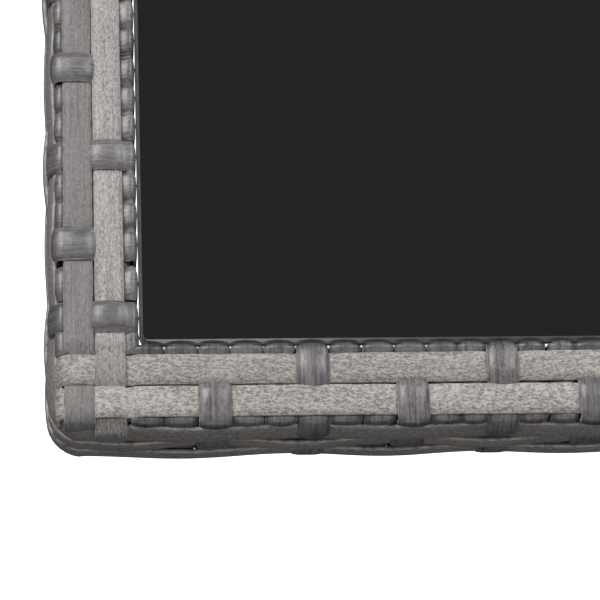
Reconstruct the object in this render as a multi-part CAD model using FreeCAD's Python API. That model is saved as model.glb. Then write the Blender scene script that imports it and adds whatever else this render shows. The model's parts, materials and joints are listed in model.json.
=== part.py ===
import FreeCAD, Part
import math
import os

# Wicker coffee table with a drop-in black glass top. Units are millimetres.
# X runs along the long side, Y from front to back, Z up. The origin is on the floor under the middle.
#
# A thin woven rim on a flat-sided steel tube frames the glass. Two cross rails between its long sides
# carry the glass on soft pads and bolt to a smaller woven base: four posts, four aprons, screw-in feet.

V = FreeCAD.Vector

# --- Overall sizes --------------------------------------------------------------------------------
LENGTH = 900.0
DEPTH = 600.0
HEIGHT = 400.0

# --- The woven skin: flat plastic strips laid over and under each other ------------------------------
STRIP = 1.2                      # thickness of one strip
SKIN = 3 * STRIP                 # wrap, strand, and the wrap that crosses over the strand
BOW = 0.6                        # how far the strands bow out along the rim's outer face
RIM_SKIN_OUT = SKIN + BOW
RIM_SKIN_IN = STRIP + 0.2        # only wraps lie between the rim tube and the glass
SLEEVE_GAP = 0.05                # between a tube and the skin around it
RIM_CORNER = 10.0                # plan radius of the woven rim's corners

# --- Rim frame --------------------------------------------------------------------------------------
WALL = 1.2                       # every steel tube's wall
TUBE_EDGE = 2.0                  # outer edge radius of the square tubes
RIM_WIDE = 18.0                  # the frame tube's section
RIM_HIGH = 22.0
RIM_CORNER_IN = 5.0              # plan radius ground on the mitred corners
MITRE_OUT = 20.0                 # the mitre planes reach this far outside the tubes
MITRE_IN = 40.0                  # and this far inside their outer faces
RIM_X = LENGTH / 2 - RIM_SKIN_OUT    # outer faces of the tube frame
RIM_Y = DEPTH / 2 - RIM_SKIN_OUT
RIM_TOP = HEIGHT - SKIN
RIM_BOTTOM = RIM_TOP - RIM_HIGH

# --- Glass ------------------------------------------------------------------------------------------
GLASS_THICK = 5.0
GLASS_TOP = HEIGHT - 1.6         # level with the strands of the rim
GLASS_GAP = 0.4                  # all round, to the wraps
GLASS_CORNER = 2.5
GLASS_BEVEL = 0.9                # ground edge
GLASS_X = RIM_X - RIM_WIDE - RIM_SKIN_IN - GLASS_GAP
GLASS_Y = RIM_Y - RIM_WIDE - RIM_SKIN_IN - GLASS_GAP
PAD_THICK = 2.0                  # soft pads under the glass
PAD_R = 6.0
PAD_Y = 225.0                    # the outer pads, from the middle of the rail

# --- Base -------------------------------------------------------------------------------------------
BASE_INSET = 140.0               # from the rim's woven face to the base's woven face
POST = 30.0
RAIL = 19.0                      # width of the apron rails
RAIL_LOW = 10.0                  # height of the apron's lower rail
PLATE = 3.0                      # gusset plates between the base and the cross rails
WEAVE_CLEAR = 0.6                # between the base's weave and the gusset plates
APRON = 60.0                     # from the bottom of the lower rail to the top of the upper one
POST_X = LENGTH / 2 - BASE_INSET - SKIN - POST / 2
POST_Y = DEPTH / 2 - BASE_INSET - SKIN - POST / 2
PLATE_TOP = RIM_BOTTOM           # the cross rails are flush with the underside of the rim tube
POST_TOP = PLATE_TOP - PLATE
APRON_TOP = POST_TOP - SKIN - WEAVE_CLEAR
APRON_BOTTOM = APRON_TOP - APRON

# --- Cross rails and their bolts --------------------------------------------------------------------
CROSS_WIDE = 20.0
CROSS_TOP = GLASS_TOP - GLASS_THICK - PAD_THICK
BOLT_R = 3.0                     # M6
BOLT_HOLE_R = 3.3
WASHER_R = 6.0
WASHER_THICK = 1.2
HEAD_FLATS = 10.0
HEAD_THICK = 4.0
NUT_THICK = 5.0
NUT_BORE_R = 3.05
BOLT_REACH = 8.5                 # shank past the gusset plate
BOLT_CLEAR = 10.0                # from the aprons' inner face to the bolt
BOLT_X = POST_X - RAIL / 2 - SKIN - BOLT_CLEAR
BOLT_Y = POST_Y - RAIL / 2 - SKIN - BOLT_CLEAR
PLATE_EDGE = 11.0                # plate beyond the bolt, and the cut across its inner corner

# --- Feet -------------------------------------------------------------------------------------------
FOOT_R = 17.0
FOOT_THICK = 8.0
FOOT_EDGE = 1.5
FLANGE = 4.0                     # the insert's flange, under the end of the post
FLANGE_WIDE = 35.0
INSERT_DEEP = 26.0               # inside the post
INSERT_CLEAR = 0.1
STUD_R = 3.95                    # M8, drawn plain
STUD_HOLE_R = 4.0
STUD_BURIED = 4.0                # moulded into the pad
STUD_TOP = 45.0                  # leaves the bush a good grip when the foot is screwed 12 mm out
BUSH_R = 6.5
BUSH_LONG = 14.0
POST_BOTTOM = FOOT_THICK + FLANGE

FLAT = 1e-6                      # an edge with less height than this is level
OVER = 1.0                       # how far a cutting shape runs past what it cuts

CORNERS = {
    "front_left": (-1, -1),
    "front_right": (1, -1),
    "back_left": (-1, 1),
    "back_right": (1, 1),
}
SIDES = {"front": ("x", -1), "back": ("x", 1), "left": ("y", -1), "right": ("y", 1)}


# --- Shapes -----------------------------------------------------------------------------------------
def block(low, high):
    """A box between two corners."""
    size = [b - a for a, b in zip(low, high)]
    return Part.makeBox(*size, V(*low))


def rounded_block(low, high, radius, axis):
    """A box whose four edges along one axis are rounded."""
    shape = block(low, high)
    edges = [e for e in shape.Edges if abs(getattr(e.tangentAt(e.FirstParameter), axis)) > 0.99]
    return shape.makeFillet(radius, edges)


def bar(axis, half, centre, z_low, z_high, wide, edge):
    """A solid bar along x or y, from -half to half, centred on the other axis."""
    if axis == "x":
        low, high = (-half, centre - wide / 2, z_low), (half, centre + wide / 2, z_high)
    else:
        low, high = (centre - wide / 2, -half, z_low), (centre + wide / 2, half, z_high)
    return rounded_block(low, high, edge, axis)


def tube(axis, half, centre, z_low, z_high, wide):
    """A square or flat steel tube along x or y."""
    outer = bar(axis, half, centre, z_low, z_high, wide, TUBE_EDGE)
    inner = bar(
        axis, half + OVER, centre, z_low + WALL, z_high - WALL, wide - 2 * WALL, TUBE_EDGE - WALL
    )
    return outer.cut(inner)


def upright(x, y, half, z_low, z_high, edge):
    """A square column with rounded edges."""
    return rounded_block((x - half, y - half, z_low), (x + half, y + half, z_high), edge, "z")


def cylinder(x, y, z_low, z_high, radius):
    return Part.makeCylinder(radius, z_high - z_low, V(x, y, z_low))


def hexagon(x, y, z_low, z_high, flats):
    """A hexagonal prism, flats wide."""
    reach = flats / 2 / math.cos(math.pi / 6)
    points = [
        V(x + reach * math.cos(k * math.pi / 3), y + reach * math.sin(k * math.pi / 3), z_low)
        for k in range(7)
    ]
    return Part.Face(Part.makePolygon(points)).extrude(V(0, 0, z_high - z_low))


def rim_quarter(side):
    """The block that the 45 degree mitres leave to one side of the rim, through its full height."""
    axis, sign = SIDES[side]
    along, across = (RIM_X, RIM_Y) if axis == "x" else (RIM_Y, RIM_X)
    points = [
        (-along - MITRE_OUT, across + MITRE_OUT),
        (along + MITRE_OUT, across + MITRE_OUT),
        (along - MITRE_IN, across - MITRE_IN),
        (MITRE_IN - along, across - MITRE_IN),
    ]
    points = [(a, sign * b) if axis == "x" else (sign * b, a) for a, b in points]
    corners = [V(x, y, RIM_BOTTOM - RIM_HIGH) for x, y in points + points[:1]]
    return Part.Face(Part.makePolygon(corners)).extrude(V(0, 0, 3 * RIM_HIGH))


def plan_block(half_x, half_y, radius, z_low, z_high):
    """A block with rounded corners in plan, centred on the origin."""
    return rounded_block((-half_x, -half_y, z_low), (half_x, half_y, z_high), radius, "z")


# --- Top --------------------------------------------------------------------------------------------
def rim_line(side):
    """(axis, half length, centre line) of one side of the rim's tube frame."""
    axis, sign = SIDES[side]
    if axis == "x":
        return axis, RIM_X, sign * (RIM_Y - RIM_WIDE / 2)
    return axis, RIM_Y, sign * (RIM_X - RIM_WIDE / 2)


def rim_tube(side):
    axis, half, centre = rim_line(side)
    whole = tube(axis, half, centre, RIM_BOTTOM, RIM_TOP, RIM_WIDE)
    plan = plan_block(RIM_X, RIM_Y, RIM_CORNER_IN, RIM_BOTTOM - OVER, RIM_TOP + OVER)
    return whole.common(rim_quarter(side)).common(plan)


def rim_skin(side):
    """The woven sleeve on one side of the rim: thick outside, over and under, thin beside the glass."""
    axis, half, centre = rim_line(side)
    sign = SIDES[side][1]
    centre_out = centre + sign * (RIM_SKIN_OUT - RIM_SKIN_IN) / 2
    wide = RIM_WIDE + RIM_SKIN_OUT + RIM_SKIN_IN
    low, high = RIM_BOTTOM - SKIN, RIM_TOP + SKIN
    outer = bar(axis, half + RIM_SKIN_OUT, centre_out, low, high, wide, TUBE_EDGE + STRIP)
    outer = outer.common(plan_block(LENGTH / 2, DEPTH / 2, RIM_CORNER, low - OVER, high + OVER))
    hollow = bar(
        axis,
        half + SLEEVE_GAP,
        centre,
        RIM_BOTTOM - SLEEVE_GAP,
        RIM_TOP + SLEEVE_GAP,
        RIM_WIDE + 2 * SLEEVE_GAP,
        TUBE_EDGE,
    )
    skin = outer.cut(hollow).common(rim_quarter(side))
    if axis == "x":
        reach = CROSS_WIDE / 2 + SLEEVE_GAP
        low_y, high_y = sorted((sign * (RIM_Y - MITRE_IN), sign * (RIM_Y - RIM_WIDE / 2)))
        low_z, high_z = RIM_BOTTOM - SLEEVE_GAP, CROSS_TOP + SLEEVE_GAP
        for x in (-BOLT_X, BOLT_X):
            skin = skin.cut(block((x - reach, low_y, low_z), (x + reach, high_y, high_z)))
    return skin


def cross_rail(sign):
    """A flat tube under the glass, butted between the rim's long tubes, with holes for two bolts."""
    x = sign * BOLT_X
    rail = tube("y", RIM_Y - RIM_WIDE, x, RIM_BOTTOM, CROSS_TOP, CROSS_WIDE)
    for y in (-BOLT_Y, BOLT_Y):
        rail = rail.cut(cylinder(x, y, RIM_BOTTOM - OVER, RIM_BOTTOM + WALL + OVER, BOLT_HOLE_R))
    return rail


def glass_top():
    """The loose pane, with rounded corners and a ground edge."""
    pane = plan_block(GLASS_X, GLASS_Y, GLASS_CORNER, GLASS_TOP - GLASS_THICK, GLASS_TOP)
    edges = [e for e in pane.Edges if e.BoundBox.ZLength < FLAT]
    return pane.makeChamfer(GLASS_BEVEL, edges)


def glass_pads():
    """Soft discs on the cross rails, three to a rail."""
    return [
        cylinder(sx * BOLT_X, y, CROSS_TOP, CROSS_TOP + PAD_THICK, PAD_R)
        for sx in (-1, 1)
        for y in (-PAD_Y, 0.0, PAD_Y)
    ]


# --- Base -------------------------------------------------------------------------------------------
def post_tube(sx, sy):
    x, y = sx * POST_X, sy * POST_Y
    half, bore = POST / 2, POST / 2 - WALL
    outer = upright(x, y, half, POST_BOTTOM, POST_TOP, TUBE_EDGE)
    inner = upright(x, y, bore, POST_BOTTOM - OVER, POST_TOP + OVER, TUBE_EDGE - WALL)
    return outer.cut(inner)


def apron_line(side):
    """(axis, half length between the posts, centre line) of one apron."""
    axis, sign = SIDES[side]
    if axis == "x":
        return axis, POST_X - POST / 2, sign * POST_Y
    return axis, POST_Y - POST / 2, sign * POST_X


def apron_rail(side, upper):
    axis, half, centre = apron_line(side)
    if upper:
        return tube(axis, half, centre, APRON_TOP - RAIL, APRON_TOP, RAIL)
    return tube(axis, half, centre, APRON_BOTTOM, APRON_BOTTOM + RAIL_LOW, RAIL)


def apron_skin(side):
    """The woven sleeve round both rails of an apron, hollow between them."""
    axis, half, centre = apron_line(side)
    half -= SKIN + SLEEVE_GAP
    outer = bar(
        axis, half, centre, APRON_BOTTOM - SKIN, APRON_TOP + SKIN, RAIL + 2 * SKIN, TUBE_EDGE + STRIP
    )
    gap = SLEEVE_GAP
    inner = bar(
        axis, half + OVER, centre, APRON_BOTTOM - gap, APRON_TOP + gap, RAIL + 2 * gap, TUBE_EDGE
    )
    return outer.cut(inner)


def post_skin(sx, sy):
    """The woven sleeve on a post, open where the apron rails meet the tube."""
    x, y = sx * POST_X, sy * POST_Y
    half, bore = POST / 2 + SKIN, POST / 2 + SLEEVE_GAP
    top = POST_TOP - WEAVE_CLEAR
    outer = upright(x, y, half, POST_BOTTOM, top, TUBE_EDGE + STRIP)
    skin = outer.cut(upright(x, y, bore, POST_BOTTOM - OVER, top + OVER, TUBE_EDGE))
    reach = RAIL / 2 + SLEEVE_GAP
    levels = (
        (APRON_TOP - RAIL - SLEEVE_GAP, APRON_TOP + SLEEVE_GAP),
        (APRON_BOTTOM - SLEEVE_GAP, APRON_BOTTOM + RAIL_LOW + SLEEVE_GAP),
    )
    for z_low, z_high in levels:
        x_low, x_high = sorted((x, x - sx * (half + OVER)))
        skin = skin.cut(block((x_low, y - reach, z_low), (x_high, y + reach, z_high)))
        y_low, y_high = sorted((y, y - sy * (half + OVER)))
        skin = skin.cut(block((x - reach, y_low, z_low), (x + reach, y_high, z_high)))
    return skin


def gusset_plate(sx, sy):
    """A plate on the post's top that reaches inwards under the cross rail, drilled for a bolt."""
    outer = (POST_X + POST / 2, POST_Y + POST / 2)
    inner = (BOLT_X - PLATE_EDGE, BOLT_Y - PLATE_EDGE)
    corners = [
        (inner[0] + PLATE_EDGE, inner[1]),
        (outer[0], inner[1]),
        outer,
        (inner[0], outer[1]),
        (inner[0], inner[1] + PLATE_EDGE),
    ]
    points = [V(sx * a, sy * b, POST_TOP) for a, b in corners]
    points.append(points[0])
    plate = Part.Face(Part.makePolygon(points)).extrude(V(0, 0, PLATE))
    hole = cylinder(sx * BOLT_X, sy * BOLT_Y, POST_TOP - OVER, PLATE_TOP + OVER, BOLT_HOLE_R)
    return plate.cut(hole)


def bolt(sx, sy):
    """A hexagon bolt, pushed up through its washer and the plate into the cross rail."""
    x, y = sx * BOLT_X, sy * BOLT_Y
    under = POST_TOP - WASHER_THICK
    head = hexagon(x, y, under - HEAD_THICK, under, HEAD_FLATS)
    shank = cylinder(x, y, under, PLATE_TOP + BOLT_REACH, BOLT_R)
    return head.fuse(shank).removeSplitter()


def washer(sx, sy):
    x, y = sx * BOLT_X, sy * BOLT_Y
    low = POST_TOP - WASHER_THICK
    return cylinder(x, y, low, POST_TOP, WASHER_R).cut(
        cylinder(x, y, low - OVER, POST_TOP + OVER, BOLT_HOLE_R)
    )


def weld_nut(sx, sy):
    """The nut welded inside the cross rail."""
    x, y = sx * BOLT_X, sy * BOLT_Y
    low = RIM_BOTTOM + WALL
    return hexagon(x, y, low, low + NUT_THICK, HEAD_FLATS).cut(
        cylinder(x, y, low - OVER, low + NUT_THICK + OVER, NUT_BORE_R)
    )


# --- Feet -------------------------------------------------------------------------------------------
def foot_insert(sx, sy):
    """The plastic plug in the end of a post, with a flange that closes the tube and a seat for the bush."""
    x, y = sx * POST_X, sy * POST_Y
    half = POST / 2 - WALL - INSERT_CLEAR
    top = POST_BOTTOM + INSERT_DEEP
    flange = upright(x, y, FLANGE_WIDE / 2, FOOT_THICK, POST_BOTTOM, TUBE_EDGE)
    body = upright(x, y, half, POST_BOTTOM, top, TUBE_EDGE - WALL)
    hole = cylinder(x, y, FOOT_THICK - OVER, top + OVER, STUD_HOLE_R)
    seat = cylinder(x, y, top - BUSH_LONG, top + OVER, BUSH_R)
    return flange.fuse(body).removeSplitter().cut(hole).cut(seat)


def foot_bush(sx, sy):
    """The brass bush that the foot's stud screws into."""
    x, y = sx * POST_X, sy * POST_Y
    top = POST_BOTTOM + INSERT_DEEP
    outer = cylinder(x, y, top - BUSH_LONG, top, BUSH_R)
    return outer.cut(cylinder(x, y, top - BUSH_LONG - OVER, top + OVER, STUD_HOLE_R))


def foot_pad(sx, sy):
    """The round pad that stands on the ground."""
    x, y = sx * POST_X, sy * POST_Y
    pad = cylinder(x, y, 0, FOOT_THICK, FOOT_R)
    rims = [e for e in pad.Edges if e.BoundBox.ZLength < FLAT]
    pad = pad.makeChamfer(FOOT_EDGE, rims)
    return pad.cut(cylinder(x, y, FOOT_THICK - STUD_BURIED, FOOT_THICK + OVER, STUD_R))


def foot_stud(sx, sy):
    x, y = sx * POST_X, sy * POST_Y
    return cylinder(x, y, FOOT_THICK - STUD_BURIED, STUD_TOP, STUD_R)


# --- Export -----------------------------------------------------------------------------------------
def all_parts():
    """{node name: shape}."""
    parts = {"glass_top": glass_top(), "glass_pads": Part.makeCompound(glass_pads())}
    for side in SIDES:
        parts[f"rim_tube_{side}"] = rim_tube(side)
        parts[f"rim_weave_{side}"] = rim_skin(side)
        parts[f"apron_top_rail_{side}"] = apron_rail(side, upper=True)
        parts[f"apron_bottom_rail_{side}"] = apron_rail(side, upper=False)
        parts[f"apron_weave_{side}"] = apron_skin(side)
    for name, sign in (("left", -1), ("right", 1)):
        parts[f"cross_rail_{name}"] = cross_rail(sign)
    for corner, (sx, sy) in CORNERS.items():
        parts[f"post_tube_{corner}"] = post_tube(sx, sy)
        parts[f"post_weave_{corner}"] = post_skin(sx, sy)
        parts[f"gusset_plate_{corner}"] = gusset_plate(sx, sy)
        parts[f"foot_insert_{corner}"] = foot_insert(sx, sy)
        parts[f"foot_pad_{corner}"] = foot_pad(sx, sy)
        parts[f"foot_stud_{corner}"] = foot_stud(sx, sy)
    groups = {
        "base_bolts": bolt,
        "base_washers": washer,
        "cross_rail_nuts": weld_nut,
        "foot_bushes": foot_bush,
    }
    for name, make in groups.items():
        parts[name] = Part.makeCompound([make(sx, sy) for sx, sy in CORNERS.values()])
    return parts


def main():
    os.makedirs("parts", exist_ok=True)
    for name, shape in all_parts().items():
        if not shape.isValid() or not shape.Solids:
            raise ValueError(f"{name} is not a valid solid")
        shape.exportStep(os.path.join("parts", name + ".step"))
        print(f"{name:32s} {len(shape.Solids)} solid(s) {shape.Volume / 1000:9.2f} cm3")


main()
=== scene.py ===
import json
import math
import random

import bpy
import numpy as np
from mathutils import Matrix, Vector


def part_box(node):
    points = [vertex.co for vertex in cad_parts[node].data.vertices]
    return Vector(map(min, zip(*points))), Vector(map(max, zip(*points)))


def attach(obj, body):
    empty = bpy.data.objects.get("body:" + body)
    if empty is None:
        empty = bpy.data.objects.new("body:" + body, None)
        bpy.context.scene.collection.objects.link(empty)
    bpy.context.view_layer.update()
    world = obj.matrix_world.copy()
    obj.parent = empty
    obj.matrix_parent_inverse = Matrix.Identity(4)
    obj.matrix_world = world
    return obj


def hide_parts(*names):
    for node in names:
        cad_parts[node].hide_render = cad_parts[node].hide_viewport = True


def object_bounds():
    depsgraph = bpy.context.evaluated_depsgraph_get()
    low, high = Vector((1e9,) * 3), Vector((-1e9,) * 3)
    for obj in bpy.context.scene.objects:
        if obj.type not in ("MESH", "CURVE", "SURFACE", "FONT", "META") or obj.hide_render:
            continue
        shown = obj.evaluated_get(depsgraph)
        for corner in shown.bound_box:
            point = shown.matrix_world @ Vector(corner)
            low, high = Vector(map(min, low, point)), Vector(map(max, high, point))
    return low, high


# The looks of the wicker coffee table. Lengths are millimetres, turned into metres where a mesh is
# made, and the table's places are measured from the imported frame. Each strip of the weave is modelled
# separately: strands run along a piece, wraps go round it, and each strand dips under every sixth wrap.

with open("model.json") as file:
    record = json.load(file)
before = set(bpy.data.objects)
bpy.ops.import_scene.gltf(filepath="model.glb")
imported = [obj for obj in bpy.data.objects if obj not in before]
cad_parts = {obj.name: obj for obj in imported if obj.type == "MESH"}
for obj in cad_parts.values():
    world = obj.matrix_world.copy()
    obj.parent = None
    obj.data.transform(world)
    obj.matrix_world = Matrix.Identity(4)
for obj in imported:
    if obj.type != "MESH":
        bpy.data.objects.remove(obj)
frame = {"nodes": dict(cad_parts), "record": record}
cad_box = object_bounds()
SEED = 11
random.seed(SEED)

MM = 0.001
LOW, HIGH = [np.array(corner) / MM for corner in cad_box]

# --- Strips -----------------------------------------------------------------------------------------
THICK = 1.2
WRAP_PITCH = 8.4                 # from one wrap's middle to the next one's
WRAP_WIDE = 8.35
WRAP_CROWN = 0.5                 # how much lower a strip's edges lie than its middle
ROW_CROWN = 0.22
PERIOD = 6                       # a strand passes over five wraps and under the sixth
WRAP_LOW = 0.6                   # height of a wrap's middle over the tube
ROW_HIGH = 1.8                   # a strand's middle where it lies on the wraps
ROW_DIP = 0.65                   # and how far it sinks under a wrap
WRAP_OVER = 2.42                 # a wrap's middle where it crosses over a strand
WRAP_SLOPE = 2.2                 # how far past a strand's edge the wrap comes back down
STRAND_EDGE = 0.6                # and how far inside that edge it starts to
DIP_REACH = 1.15 * WRAP_PITCH    # a strand's dip starts this far from the middle of the wrap
# No two wraps are quite alike in place, width, crown, lean and tone.
PLACE_JITTER = 0.12
WIDTH_JITTER = (-0.15, 0.1)
CROWN_JITTER = (-0.05, 0.1)
LEAN_JITTER = 0.25
WRAP_TONE = (0.97, 0.12)         # mean and spread

# --- Rim section: distances run inwards from the outer woven face, heights up from the weave's top ----
TUBE_OUT = 4.2                   # where the tube's outer face is
TUBE_TOP = -3.6
TUBE_EDGE = 0.9                  # the radius on which the wraps turn its edges
# A wrap's middle over the tube on a long (True) or short (False) side's inner face, and at its top corner,
# which is INSIDE_TALL high with a rise over the lowest INSIDE_RISE of it.
WRAP_INSIDE = {True: 0.85, False: 1.15}
WRAP_INSIDE_TOP = {True: 2.15, False: 1.7}
INSIDE_TALL, INSIDE_RISE = 4.0, 3.0
WRAP_INSIDE_CROWN = {True: 0.45, False: 0.25}
WRAP_CORNER_CROWN = {True: 0.7, False: 0.5}
CORNER_TALL = 1.5                # the top corner's crown starts this far under the tube's top
WRAP_DOME, DOME_PAST = 0.42, 1.0   # how far a wrap bows up in the middle of a strand, and past its edges
WRAP_SIDE = 0.95                 # on the outer face, and lower down behind the strands
WRAP_SIDE_LOW = 2.15
LOW_FROM, LOW_OVER = -12.5, 4.0  # the height where it starts to come out, and over how much
LOW_SIDE_CROWN = 0.05
OUTER_BAND = 3.0                 # the part of the underside beside the outer face
RIM_TUBE_LOW, RIM_TUBE_HIGH = [np.array(c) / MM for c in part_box("rim_tube_front")]
TUBE_WIDE = RIM_TUBE_HIGH[1] - RIM_TUBE_LOW[1]
TUBE_TALL = RIM_TUBE_HIGH[2] - RIM_TUBE_LOW[2]
TOP_Z = HIGH[2]
GLASS_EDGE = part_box("glass_top")[0][1] / MM - LOW[1]
GLASS_CLEAR = 0.06               # the wraps lie flat beside the glass, this far from it

# The strands on the rim's outer face: (distance in, height, tilt in degrees). Each bellies out between
# the wraps that pull it in, by the bow for a long or a short side.
SIDE_ROWS = ((1.95, -8.6, 13.5), (1.3, -16.3, 0.4), (0.95, -24.1, 0.0))
SIDE_ROW_WIDE = 7.2
SIDE_BOW = {True: (0.5, 0.85, 0.35), False: (0.6, 1.15, 0.25)}
SIDE_OVER = (THICK + 0.08, THICK + 0.08, 0.6)   # how far a wrap's middle stands out over them
SIDE_EDGE, SIDE_SLOPE = 2.0, 4.0   # where it starts to fall off inside their edges, and over how much
# The side strands' tones are painted shade: the outer face is painted darker than the top, where less
# light falls on it.
SIDE_SHADED_TONES = (0.66, 0.7, 0.7)
# The side strands' pale edges are widened, partly as a painted highlight along their edges.
SIDE_FLECK, SIDE_CUT_AND_HIGHLIGHT = 0.75, 1.09
SIDE_GAP, SIDE_BOW_LEAST = 30.0, 0.3   # strands bow fully between wraps this far apart, and less if closer
SIDE_CORNER = 9.0                # plan radius on which they turn the corners
CORNER_TILT = 11.0               # extra tilt of the uppermost at the corners, over CORNER_REACH
CORNER_REACH = 26.0
CORNER_LEAN = {True: 0.35, False: 1.0}   # the share of it at a long or short side's end, and on the turn
TURN_LEAN = 0.8
TURN_IN = 0.3                    # how far that tilt pulls the strand in
TURN_STEPS = 9
SEAM = 0.56                      # where the gap between a strand's ends is, as a share of the way round


# --- Mesh building ----------------------------------------------------------------------------------
# A strip's outline in half widths and half thicknesses, finer where it is seen close to.
FULL_PROFILE = (
    (-1.0, 0.1), (-0.95, 0.72), (-0.55, 1.0), (0.0, 1.0), (0.55, 1.0), (0.95, 0.72), (1.0, 0.1),
    (0.96, -1.0), (-0.96, -1.0),
)
LIGHT_PROFILE = (
    (-1.0, 0.1), (-0.93, 0.8), (0.0, 1.0), (0.93, 0.8), (1.0, 0.1), (0.96, -1.0), (-0.96, -1.0),
)

TINY = 1e-9
EDGE_STEPS = 4                   # on each rounded edge of a section


def unit(v):
    return v / np.maximum(np.linalg.norm(v, axis=-1, keepdims=True), TINY)


class Weave:
    """Gathers strips into one mesh, with what the strip material needs as attributes."""

    def __init__(self, profile=FULL_PROFILE):
        self.profile = profile
        self.points, self.faces, self.smooth = [], [], []
        self.strip, self.look = [], []
        self.count = 0

    def add(self, centre, normal, wide, crown, tone=1.0, fleck=0.5, cut=1.0, closed=False):
        """One strip along centre (n points), facing normal. wide, crown and tone are one number or one for
        each point; cut widens the pale line along its edges, which is partly pale cut fibre and partly a
        painted highlight."""
        n, m = len(centre), len(self.profile)
        if closed:
            tangent = np.roll(centre, -1, 0) - np.roll(centre, 1, 0)
        else:
            tangent = np.gradient(centre, axis=0)
        tangent = unit(tangent)
        normal = unit(normal - tangent * np.sum(normal * tangent, 1, keepdims=True))
        side = np.cross(tangent, normal)
        wide, crown, tone = [np.broadcast_to(np.asarray(q, float), (n,)) for q in (wide, crown, tone)]
        across, level = np.array(self.profile).T
        drop = np.where(level > 0, across**2, 0.0) * crown[:, None]
        a = wide[:, None] / 2 * across[None, :]
        b = level * THICK / 2 - drop
        points = centre[:, None, :] + side[:, None, :] * a[..., None]
        points = points + normal[:, None, :] * b[..., None]
        step = np.linalg.norm(np.diff(centre, axis=0), axis=1)
        along = np.concatenate([[0.0], np.cumsum(step)])
        seed = random.uniform(0, 100)
        strip = np.stack([np.repeat(along[:, None], m, 1), a, np.full((n, m), seed)], -1)
        look = np.stack(
            [
                np.repeat(tone[:, None], m, 1),
                np.full((n, m), fleck),
                np.repeat(cut * across[None, :], n, 0),
            ],
            -1,
        )
        spans = n if closed else n - 1
        i = np.arange(spans)[:, None]
        k = np.arange(m)[None, :]
        i2, k2 = (i + 1) % n, (k + 1) % m
        quads = np.stack([i * m + k, i * m + k2, i2 * m + k2, i2 * m + k], -1).reshape(-1, 4)
        self.faces += (quads + self.count).tolist()
        top = (level > 0) & (np.roll(level, -1) > 0)
        self.smooth += np.tile(top, spans).tolist()
        if not closed:
            first = list(range(self.count, self.count + m))
            last = [q + (n - 1) * m for q in first]
            self.faces += [first[::-1], last]
            self.smooth += [False, False]
        self.points.append(points.reshape(-1, 3))
        self.strip.append(strip.reshape(-1, 3))
        self.look.append(look.reshape(-1, 3))
        self.count += n * m

    def build(self, name, material, slot, body, *nodes):
        mesh = bpy.data.meshes.new(name)
        points = np.concatenate(self.points) * MM
        mesh.from_pydata(points.tolist(), [], self.faces)
        mesh.polygons.foreach_set("use_smooth", self.smooth)
        for key, rows in (("strip", self.strip), ("look", self.look)):
            layer = mesh.attributes.new(key, "FLOAT_VECTOR", "POINT")
            layer.data.foreach_set("vector", np.concatenate(rows).astype(np.float32).ravel())
        mesh.materials.append(material)
        piece = bpy.data.objects.new(name, mesh)
        bpy.context.scene.collection.objects.link(piece)
        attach(piece, body)
        if nodes:
            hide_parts(*nodes)
        return piece


class Section:
    """Points round a rounded rectangle, anticlockwise from the bottom's middle, with outward normals."""

    def __init__(self, low, high, radius, step):
        (a0, b0), (a1, b1) = low, high
        r = radius
        points, normals = [], []
        middle = (a0 + a1) / 2
        runs = (
            ((middle, b0), (a1 - r, b0), (0, -1)),
            ((a1, b0 + r), (a1, b1 - r), (1, 0)),
            ((a1 - r, b1), (a0 + r, b1), (0, 1)),
            ((a0, b1 - r), (a0, b0 + r), (-1, 0)),
            ((a0 + r, b0), (middle, b0), (0, -1)),
        )
        for index, (start, end, normal) in enumerate(runs):
            length = math.dist(start, end)
            count = max(2, int(round(length / step)))
            for q in range(count + 1):
                t = q / count
                points.append([start[0] + (end[0] - start[0]) * t, start[1] + (end[1] - start[1]) * t])
                normals.append(normal)
            if index < len(runs) - 1:
                turn = math.atan2(normal[1], normal[0])
                centre = (end[0] - normal[0] * r, end[1] - normal[1] * r)
                for q in range(1, EDGE_STEPS):
                    angle = turn + q * math.pi / (2 * EDGE_STEPS)
                    normals.append((math.cos(angle), math.sin(angle)))
                    points.append([centre[0] + r * math.cos(angle), centre[1] + r * math.sin(angle)])
        self.points = np.array(points[:-1])
        self.normals = np.array(normals[:-1], float)


def ramp(distance, length):
    """0 up to 0, rising evenly to 1 at length."""
    return np.clip(distance / length, 0, 1)


def sway(along, size, length, start):
    """A slow wander of a strand to and fro."""
    return size * np.sin(along / length + start)


def bump(t):
    """1 at 0, falling smoothly to 0 at 1 and -1."""
    return np.where(np.abs(t) < 1, np.cos(np.clip(t, -1, 1) * math.pi / 2) ** 2, 0.0)


def plateau(distance, flat, fall):
    """1 within flat of 0, falling smoothly to 0 over fall."""
    t = ramp(np.abs(distance) - flat, fall)
    return 1 - t * t * (3 - 2 * t)


def dipped(height, along, places, depth):
    """A strand's heights, lowered where it passes under the wraps at these places."""
    for at in places:
        height = height - depth * bump((along - at) / DIP_REACH)
    return height


# --- Rim --------------------------------------------------------------------------------------------
LONG, SHORT = HIGH[0] - LOW[0], HIGH[1] - LOW[1]
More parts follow.
